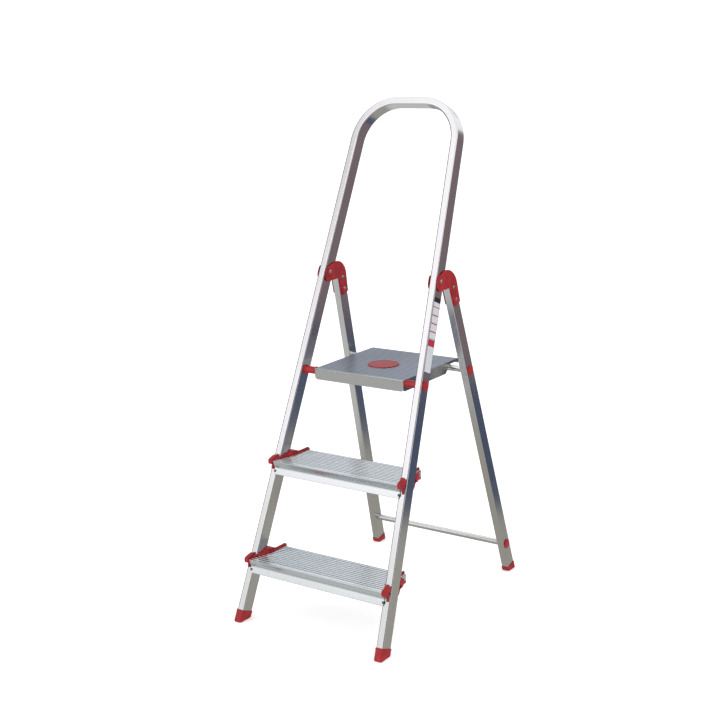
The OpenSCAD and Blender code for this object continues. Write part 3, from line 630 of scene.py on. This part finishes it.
def bracket_shape(z):
    """A right bracket: strip along the tread's end, arms before and behind the rail, tails and web."""
    inner, outer = inner_x(z), outer_x(z) - SIDE_INSET
    place = Matrix.Translation((0, rail_front_y(z) - TREAD_NOSE, z))
    lean = math.tan(FRONT_LEAN)
    face = TREAD_NOSE - GAP
    back = TREAD_NOSE + RAIL_CUT + GAP
    shape = Shape()
    shape.loft([[place @ p for p in loop] for loop in strip_sections(inner)])
    # front arm: a block with a rounded nub and a horn up the rail's inner front corner
    rows = [(-3.4, 1.8, 1.2, 1.2), (-3.0, 0.8, 2.3, 2.3), (-1.8, 0.2, 3.3, 3.3), (0.5, 0.0, 4.2, 4.2),
            (5.0, 0.0, 5.8, 5.8), (10.0, 0.0, 7.4, 7.2), (15.0, 0.0, 9.4, 8.2), (18.5, 0.0, 11.4, 8.6),
            (22.0, 0.0, 13.2, 8.8), (24.5, 0.0, 13.8, 9.0)]
    loops = []
    for y, shrink, horn, top in rows:
        low = -9.6 + shrink
        corners = [(inner + 6.6 + shrink, low), (outer - shrink, low), (outer - shrink, top - shrink * 0.5),
                   (inner + 10.6, top - shrink * 0.5), (inner + 6.6 + shrink, horn - shrink * 0.5)]
        ring = rounded_polygon(corners, [1.0, 1.2, 1.6, 1.2, 1.2], 4)
        loops.append([place @ Vector((p.x, min(y, face + p.y * lean), p.y)) for p in ring])
    shape.loft(loops)
    # rear arm and its tail, as side views
    depth = place @ SIDEWAYS

    def behind(offset, height):
        return (back + offset + height * lean, height)

    arm = rounded_polygon([behind(0, -12.5), (back + 10, -13.0), (back + 18.6, -6.0), (back + 21.0, 3.0),
                           (back + 19.6, 8.4), behind(0, 9.2)], [0.4, 2.5, 2.5, 2.0, 2.2, 0.4], 4)
    shape.plate(arm, inner - 12.0, outer, 1.5, depth)
    tail = rounded_polygon([behind(0, -26.5), behind(4.4, -26.0), behind(6.8, -12.0), behind(6.8, -4.0),
                            behind(0, -4.0)], [1.5, 2.0, 1.0, 0.5, 0.5], 4)
    shape.plate(tail, outer - 6.6, outer, 1.4, depth)

    def before(offset, height):
        return (face - offset + height * lean, height)

    tail = rounded_polygon([before(0, -26.5), before(0, -3.0), before(6.6, -3.0), before(6.2, -12.0),
                            before(4.4, -26.0)], [1.5, 0.4, 0.5, 1.0, 2.0], 4)
    shape.plate(tail, outer - 6.4, outer, 1.4, depth)
    # web between the tread's end and the rail, seen from below and from the back
    start, end = TREAD_NOSE + 0.5, TREAD_NOSE + WEB_DEPTH
    web = rounded_polygon([(start, -25.0), (end, -25.0), (end, -1.0), (start, -1.0)], 1.5, 3)
    shape.plate(web, inner - WEB_T, inner - GAP, 0.6, depth)
    start, end = back + 14, TREAD_D + 6.2
    skirt = rounded_polygon([(start, -9.6), (end, -9.6), (end, 2.0), (start, 2.0)], 1.6, 3)
    shape.plate(skirt, inner - 17.0, inner - 10.6, 1.2, depth)
    # teeth that fill the grooves between the ribs
    edge = [(9.0, 6.4), (22.6, 1.6), (47.0, -10.2), (61.0, -13.2), (80.0, -15.2), (103.0, -16.9),
            (126.0, -17.2)]
    for i in range(TREAD_RIBS):
        groove = RIB_MARGIN + i * RIB_PITCH + RIB_PITCH * 0.75
        if not 9 < groove < 124:
            continue
        for (y0, x0), (y1, x1) in zip(edge, edge[1:]):
            if y0 <= groove <= y1:
                start = inner + x0 + (x1 - x0) * (groove - y0) / (y1 - y0)
        half = RIB_PITCH * 0.19
        tooth = rounded_polygon([(start - 3.6, groove - half * 0.5), (start + 3, groove - half),
                                 (start + 3, groove + half), (start - 3.6, groove + half * 0.5)], 0.6, 3)
        shape.plate(tooth, -1.3, 1.0, 0.45, place)
    return shape


def make_brackets():
    for level, z in TREAD_LEVELS.items():
        for name, side in SIDES.items():
            bracket_shape(z).flip_to(side).piece(f"{level}_bracket_clasp_{name}", "front_frame", [RED],
                                                 [f"{level}_bracket_{name}"], "red_plastic")


def make_tread_fasteners():
    rivets, screws = Shape(), Shape()
    slope = FASCIA_BACK / (FASCIA_H - NOSE_R)
    for z in TREAD_LEVELS.values():
        on_lip = Matrix.Translation((-RAIL_W / 2 + LIP_RIVET_INSET, -RAIL_D / 2 - LIP_T - GAP, 0))
        place = at_rail_level(z - FASCIA_H - LIP_H / 2) @ on_lip @ Matrix.Rotation(math.pi / 2, 4, "X")
        rivets.lathe(domed_head(3.6, 1.6) + [(0.9, 1.5), (0.8, 0.7)], place, 28)
        level = z - SCREW_DROP
        y = rail_front_y(z) - TREAD_NOSE + slope * (SCREW_DROP - NOSE_R)
        place = Matrix.Translation((inner_x(level) + SCREW_INSET, y, level)) @ Matrix.Rotation(
            math.pi / 2 + math.atan(slope), 4, "X")
        screws.lathe(domed_head(3.2, 1.2) + [(0.9, 1.1), (0.7, 0.5)], place, 28)
    rivets.mirrored().piece("lip_rivets", "front_frame", [DARK_STEEL], ["tread_rivets"], "dark_steel")
    screws.mirrored().piece("fascia_end_screws", "front_frame", [STEEL], ["fascia_screws"], "bright_steel")


# ---- platform ----

def tray_profile():
    """The pan's ribbed top, its rear lip and the bead along its front, as one side view."""
    pitch = (PLATFORM_D - TRAY_PLAIN) / PLATFORM_RIBS
    under = -RIB_H - TRAY_WALL
    back = PLATFORM_D
    outline = [(3.2, under), (back - TRAY_WALL, under), (back - TRAY_WALL, -12.4), (back - 0.8, -13.0),
               (back, -12.2), (back, -RIB_H - 0.8), (back - 0.8, -RIB_H)]
    outline += rib_line(0, PLATFORM_RIBS, pitch, TRAY_RIBS_START, (6, back - 1), RIB_H)
    outline += [(5.6, -RIB_H), (4.8, -0.6), (3.6, -0.1), (2.2, 0.0), (0.9, -0.45), (0.1, -1.5), (0.1, -2.9),
                (0.9, -4.0), (2.0, -4.4), (3.0, -4.0)]
    return [Vector(p) for p in outline]


def make_platform():
    base = Matrix.Translation((0, TRAY_FRONT_Y, PLATFORM_Z))
    half = PLATFORM_W / 2
    shape = Shape()
    stations = [-half + 0.4] + [-half + 2 + (PLATFORM_W - 4) * k / 12 for k in range(13)] + [half - 0.4]
    outline = tray_profile()
    # slot 2 is the pan's top in its painted-shade copy of the metal, slot 1 the painted shade in the
    # grooves
    slots = [0 if slot == 2 and here.x < TRAY_BEAD else slot
             for slot, here in zip(groove_slots(outline, top_slot=2), outline)]
    shape.sweep(outline, [base @ Matrix.Translation((x, 0, 0)) @ SIDEWAYS for x in stations], slots)
    skirt = rounded_polygon([(-half, -RIB_H - 0.4), (-half, -SKIRT_H - RIB_H), (half, -SKIRT_H - RIB_H),
                             (half, -RIB_H - 0.4)], [1.0, 10, 10, 1.0], 10)
    upright = base @ Matrix.Translation((0, TRAY_WALL + 0.4, 0)) @ Matrix.Rotation(math.pi / 2, 4, "X")
    shape.plate(skirt, 0, TRAY_WALL, 0.6, upright)
    cut = leg_axis_y(UPPER_BAR_Z) - TRAY_FRONT_Y - 26
    low = -SKIRT_H - RIB_H
    for side in SIDES.values():
        flange = rounded_polygon([(0.7, -RIB_H - 0.4), (0.7, low), (cut, low), (cut + 24, -7.5),
                                  (PLATFORM_D - 0.3, -7.5), (PLATFORM_D - 0.3, -RIB_H - 0.4)],
                                 [0.6, 9, 2.5, 3, 1, 0.5], 8)
        x0 = half - TRAY_WALL if side > 0 else -half
        shape.plate(flange, x0, x0 + TRAY_WALL, 0.6, base @ SIDEWAYS)
    shape.piece("platform_pan", "platform", [TRAY, TRAY_GROOVE_SHADE, TRAY_TOP_SHADE], ["platform_tray"],
                "platform_sheet", sharp=30)
    # badge
    profile = [(33, -3.0), (40.6, -1.0), (41, -0.4), (41, 0.9), (40.6, 1.5), (39.8, 1.9), (38.6, 2.1),
               (37.6, 1.9), (37.0, 1.6), (36.0, 1.55), (14, 1.9), (0.6, 2.0)]
    place = Matrix.Translation((0, TRAY_FRONT_Y + BADGE_BACK, PLATFORM_Z))
    badge = Shape().lathe(profile, place, 96)
    badge.piece("platform_round_badge", "platform", [RED], ["platform_badge"], "red_plastic")
    # saddles over the upper crossbar
    bar_y = leg_axis_y(UPPER_BAR_Z)
    under = PLATFORM_Z - RIB_H - TRAY_WALL
    for name, side in SIDES.items():
        seat = arc((bar_y, UPPER_BAR_Z), SEAT_R, 150, 0, 15)
        outline = [Vector((bar_y - 15.6, under)), Vector((bar_y - 15.6, UPPER_BAR_Z + 5.5)),
                   Vector((bar_y - 13.6, UPPER_BAR_Z + 4.2))] + seat
        outline += [Vector((bar_y + 8.6, UPPER_BAR_Z - 8.2)), Vector((bar_y + 10.2, UPPER_BAR_Z - 9.8)),
                    Vector((bar_y + 12.4, UPPER_BAR_Z - 9.8)), Vector((bar_y + 13.8, UPPER_BAR_Z - 7.6)),
                    Vector((bar_y + 13.8, under))]
        saddle = Shape().plate(outline, HOOK_X - HOOK_W / 2, HOOK_X + HOOK_W / 2, 0.7, SIDEWAYS)
        saddle.flip_to(side).piece(f"bar_saddle_{name}", "platform", [RED], [f"bar_hook_{name}"],
                                   "red_plastic")
    rivets = Shape()
    for dx in (-HOOK_RIVET_DX, HOOK_RIVET_DX):
        rivets.lathe([(1.4, -6), (2.0, -5.6), (2.0, -0.4), (1.6, -0.05)],
                     Matrix.Translation((HOOK_X + dx, bar_y, under)), 20)
    rivets.mirrored().piece("saddle_rivets", "platform", [STEEL], ["hook_rivets"], "bright_steel")


def cap_profile():
    profile = [(CAP_R - 3.0, 0.2), (CAP_R - 0.4, 0.2), (CAP_R, 0.7), (CAP_R, 2.4)]
    for k in range(1, 9):
        a = math.pi / 2 * k / 8.2
        profile.append((CAP_R * math.cos(a) ** 0.8, 2.4 + 2.5 * math.sin(a)))
    return profile


def make_caps_and_bushings():
    for name, side in SIDES.items():
        x = outer_x(TRAY_PIVOT_Z)
        cap = Shape().lathe(cap_profile(), along_x(x - 0.6, TRAY_PIVOT_Y, TRAY_PIVOT_Z), 48)
        cap.flip_to(side).piece(f"pivot_button_{name}", "front_frame", [RED], [f"pivot_cap_{name}"],
                                "red_plastic")
        for level, z in (("lower", LOWER_BAR_Z), ("upper", UPPER_BAR_Z)):
            cap = Shape().lathe(cap_profile(), along_x(outer_x(z) - 0.6, leg_axis_y(z), z), 48)
            cap.flip_to(side).piece(f"{level}_bar_button_{name}", "rear_frame", [RED],
                                    [f"{level}_bar_cap_{name}"], "red_plastic")
        start, end = PLATFORM_W / 2 + 0.5, inner_x(TRAY_PIVOT_Z) - 0.1
        length = end - start
        profile = [(6, 0.1), (10.2, 0.1), (10.9, 0.8), (10.9, 3.2), (10.3, 3.9), (9.6, 4.3), (9.4, 6.0),
                   (9.4, length - 6.5), (9.6, length - 5.0), (10.8, length - 4.2), (11.9, length - 3.8),
                   (12.4, length - 3.0), (12.4, length - 1.2), (12.0, length - 0.2), (6, length - 0.1)]
        bush = Shape().lathe(profile, along_x(start, TRAY_PIVOT_Y, TRAY_PIVOT_Z), 48)
        bush.flip_to(side).piece(f"pivot_spacer_{name}", "front_frame", [RED], [f"pivot_bushing_{name}"],
                                 "red_plastic")
    reach = outer_x(TRAY_PIVOT_Z) - SIDE_INSET
    ring = arc((0, 0), 5, 0, 360, 32)[:-1]
    places = [along_x(-reach + 2 * reach * k / 8, TRAY_PIVOT_Y, TRAY_PIVOT_Z) for k in range(9)]
    rod = Shape().sweep(ring, places)
    rod.piece("pivot_shaft", "front_frame", [STEEL], ["pivot_rod"], "bright_steel")


# ---- hinges ----

def plate_outline():
    """Hinge plate in the leg's plane, with the pivot at the origin, x to the back and y up the leg."""
    turn = Matrix.Rotation(math.pi / 2 - FRONT_LEAN - REAR_LEAN, 2)
    front = HINGE_OFFSET - LEG_D / 2
    rear, strip = front + LEG_D + 1.5, front + 2
    ends = arc((LOBE_BACK, 0), LOBE_R, 60, 90, 4) + arc((LOBE_FRONT, 0), LOBE_R, 90, 232, 16)
    lobe = [turn @ p for p in ends]
    notch = [Vector(p) for p in ((3.0, -24.2), (8.0, -26.6), (14.0, -28.6), (20.0, -29.6), (25.0, -30.6),
                                 (29.6, -33.0), (32.8, -37.0), (strip - 0.6, -42.0), (strip, -50.0))]
    foot = rounded_polygon([(strip, -80.0), (strip + 6, -88.0), (rear - 4, -85.0), (rear, -80.0)],
                           [4, 5, 3, 3], 4)[1:-1]
    top = arc((20.5, -30), 48.3, -2, 106, 22)
    return lobe + notch + foot + top


def make_hinges():
    outline = plate_outline()
    for name, side in SIDES.items():
        for where, face in (("outer", 1), ("inner", -1)):
            base = LEG_FRAME @ Matrix.Translation((face * RAIL_W / 2, -LEG_D / 2 + PIVOT_N,
                                                   PIVOT_S / math.cos(REAR_SPLAY))) @ SIDEWAYS
            if face < 0:
                base = base @ Matrix.Scale(-1, 4, (0, 0, 1))
            shape = Shape().plate(outline, HINGE_PLAY, PLATE_T, 1.5, base, 4)
            front = HINGE_OFFSET - LEG_D / 2
            rear = front + LEG_D
            pad = rounded_polygon([(front, -79), (front + 8, -86), (rear - 3, -83), (rear, -79),
                                   (rear, -34), (front, -40)], 1.5, 3)
            shape.plate(pad, GAP, HINGE_PLAY + 1, 0.3, base)
            shape.flip_to(side).piece(f"hinge_cheek_{name}_{where}", "rear_frame", [RED],
                                      [f"hinge_plate_{name}_{where}"], "red_plastic")
    pins, rivets = Shape(), Shape()
    leg_axis_x = RAIL_X - PIVOT_S * math.tan(REAR_SPLAY)
    reach = RAIL_W / 2 + PLATE_T + PIN_HEAD_R * TAPER - 0.1
    x0, x1 = leg_axis_x - reach, leg_axis_x + reach
    for x, way in ((x1, 1), (x0, -1)):
        place = along_x(x, HINGE_Y, HINGE_Z)
        if way < 0:
            place = place @ Matrix.Rotation(math.pi, 4, "X")
        pins.lathe(domed_head(PIN_HEAD_R, 2.4) + [(1.2, 2.2), (1.0, 1.2)], place, 32)
    pins.mirrored().piece("hinge_pin_heads", "front_frame", [STEEL], ["hinge_pins"], "bright_steel")
    for s in LEG_RIVETS_S:
        along, across = PIVOT_S + s, LEG_D / 2
        y = REAR_Y + across * math.cos(REAR_LEAN) - along * math.sin(REAR_LEAN)
        z = across * math.sin(REAR_LEAN) + along * math.cos(REAR_LEAN)
        for x, way in ((outer_x(z) + PLATE_T + 0.35, 1), (inner_x(z) - PLATE_T - 0.35, -1)):
            place = along_x(x, y, z)
            if way < 0:
                place = place @ Matrix.Rotation(math.pi, 4, "X")
            rivets.lathe(domed_head(4.6, 2.0) + [(1.0, 1.8), (0.9, 1.0)], place, 32)
    rivets.mirrored().piece("hinge_rivet_heads", "rear_frame", [STEEL], ["hinge_rivets"], "bright_steel")


def make_sticker():
    z0, z1 = (level / math.cos(FRONT_LEAN) for level in STICKER_LEVELS)
    label = Shape()
    half = RAIL_D / 2 - 4.2
    outline = rounded_polygon([(-half, z0), (half, z0), (half, z1), (-half, z1)], 1.2, 4)
    label.plate(outline, RAIL_W / 2 + 0.02, RAIL_W / 2 + 0.28, 0.1, RAIL_FRAME @ SIDEWAYS)
    for face in label.bm.faces:
        for loop in face.loops:
            local = RAIL_FRAME.inverted() @ loop.vert.co
            loop[label.uv].uv = ((local.y + half) / (2 * half), (local.z - z0) / (z1 - z0))
    label.piece("rail_label", "front_frame", [STICKER], ["rail_sticker"], "sticker")


# ---- camera, stage and light ----

CAMERA_AT = (1.8431, -2.7236, 1.4496)
CAMERA_YAW, CAMERA_PITCH, CAMERA_ROLL = 0.5998, -0.2419, -0.0274


def make_camera():
    data = bpy.data.cameras.new("camera")
    data.sensor_width = 36
    data.lens = 65.30
    data.shift_x = -0.00845
    data.shift_y = 0.0020
    data.clip_end = 60
    camera = bpy.data.objects.new("camera", data)
    scene.collection.objects.link(camera)
    look = Vector((-math.sin(CAMERA_YAW) * math.cos(CAMERA_PITCH),
                   math.cos(CAMERA_YAW) * math.cos(CAMERA_PITCH), math.sin(CAMERA_PITCH)))
    level = Vector((math.cos(CAMERA_YAW), math.sin(CAMERA_YAW), 0))
    upright = level.cross(look)
    right = math.cos(CAMERA_ROLL) * level + math.sin(CAMERA_ROLL) * upright
    up = math.cos(CAMERA_ROLL) * upright - math.sin(CAMERA_ROLL) * level
    turn = Matrix((right, up, -look)).transposed()
    camera.matrix_world = Matrix.Translation(CAMERA_AT) @ turn.to_4x4()
    scene.camera = camera


def card(name, centre, facing, size, colour, strength, lights=False):
    """A glowing panel that only reflections meet, unless it is asked to light the scene as well."""
    mesh = bpy.data.meshes.new(name)
    w, h = size[0] / 2, size[1] / 2
    mesh.from_pydata([(-w, -h, 0), (w, -h, 0), (w, h, 0), (-w, h, 0)], [], [(0, 1, 2, 3)])
    panel = bpy.data.objects.new(name, mesh)
    scene.collection.objects.link(panel)
    panel.location = centre
    panel.rotation_mode = "QUATERNION"
    panel.rotation_quaternion = (Vector(facing) - Vector(centre)).to_track_quat("Z", "Y")
    material = bpy.data.materials.new(name)
    material.use_nodes = True
    tree = material.node_tree
    tree.nodes.clear()
    glow = node(tree, "ShaderNodeEmission", {"Color": (*colour, 1), "Strength": strength})
    node(tree, "ShaderNodeOutputMaterial", {"Surface": glow.outputs[0]})
    mesh.materials.append(material)
    panel.visible_camera = False
    panel.visible_shadow = False
    panel.visible_diffuse = lights
    return panel


def make_stage():
    mesh = bpy.data.meshes.new("floor")
    reach = 60
    mesh.from_pydata([(-reach, -reach, 0), (reach, -reach, 0), (reach, reach, 0), (-reach, reach, 0)], [],
                     [(0, 1, 2, 3)])
    floor = bpy.data.objects.new("floor", mesh)
    scene.collection.objects.link(floor)
    material, _, shader = new_material("floor_paper")
    shader.inputs["Base Color"].default_value = (0.96, 0.96, 0.96, 1)
    shader.inputs["Roughness"].default_value = 0.95
    shader.inputs["Specular IOR Level"].default_value = 0.1
    shader.inputs["Emission Color"].default_value = (1, 1, 1, 1)
    shader.inputs["Emission Strength"].default_value = 0.3
    mesh.materials.append(material)
    floor.visible_glossy = False
    world = bpy.data.worlds.new("studio")
    scene.world = world
    world.use_nodes = True
    background = world.node_tree.nodes["Background"]
    background.inputs["Color"].default_value = (1, 1, 1, 1)
    background.inputs["Strength"].default_value = 1.05


def wall(name, foot, facing, width, low, high, colour):
    """An upright panel of the studio, seen only in reflections."""
    middle = (low + high) / 2
    return card(name, (*foot, middle), (*facing, middle), (width, high - low), colour, 1)


def make_studio():
    """A soft light from the front left, and the dark and pale surroundings that the metal mirrors."""
    # the one card that lights the scene; the metal mirrors front_low and front_high in its place
    panel = card("front_panel", (-2.5, -3.4, 3.1), (0, 0, 1.1), (3.6, 2.6), (1.0, 0.985, 1.0), 2.1,
                 lights=True)
    panel.visible_glossy = False
    centre = (0.0, 0.0)
    wall("front_low", (-2.2, -3.0), centre, 5.0, 0.0, 1.4, (0.93, 0.94, 0.93))
    wall("front_high", (-2.2, -3.0), centre, 5.0, 1.4, 4.6, (1.26, 1.22, 1.25))
    wall("right_back_low", (0.68, 0.77), centre, 1.8, -0.05, 0.42, (0.075, 0.095, 0.15))
    wall("right_back_high", (0.685, 0.775), centre, 1.8, 0.42, 1.35, (0.20, 0.155, 0.165))
    wall("left_side", (-2.45, -0.3), centre, 3.6, -0.05, 3.2, (0.10, 0.10, 0.11))
    wall("left_back_low", (-1.9, 2.0), centre, 2.2, -0.05, 0.5, (0.16, 0.17, 0.20))
    wall("right_front", (2.1, -1.9), centre, 3.0, -0.05, 2.4, (0.14, 0.14, 0.15))
    card("sky_back", (-2.3, 3.2, 1.9), (0, 0, 0.5), (4.6, 2.6), (0.76, 0.82, 0.87), 1.0)
    card("ground_near", (0.9, 1.1, -0.02), (0.9, 1.1, 1), (2.8, 2.8), (0.37, 0.36, 0.32), 1.0)
    card("ground_far", (0, 0, -0.04), (0, 0, 1), (12, 12), (0.60, 0.61, 0.60), 1.0)


make_rails()
make_crossbars()
make_feet()
make_treads()
make_brackets()
make_tread_fasteners()
make_platform()
make_caps_and_bushings()
make_hinges()
make_sticker()
make_camera()
make_stage()
make_studio()
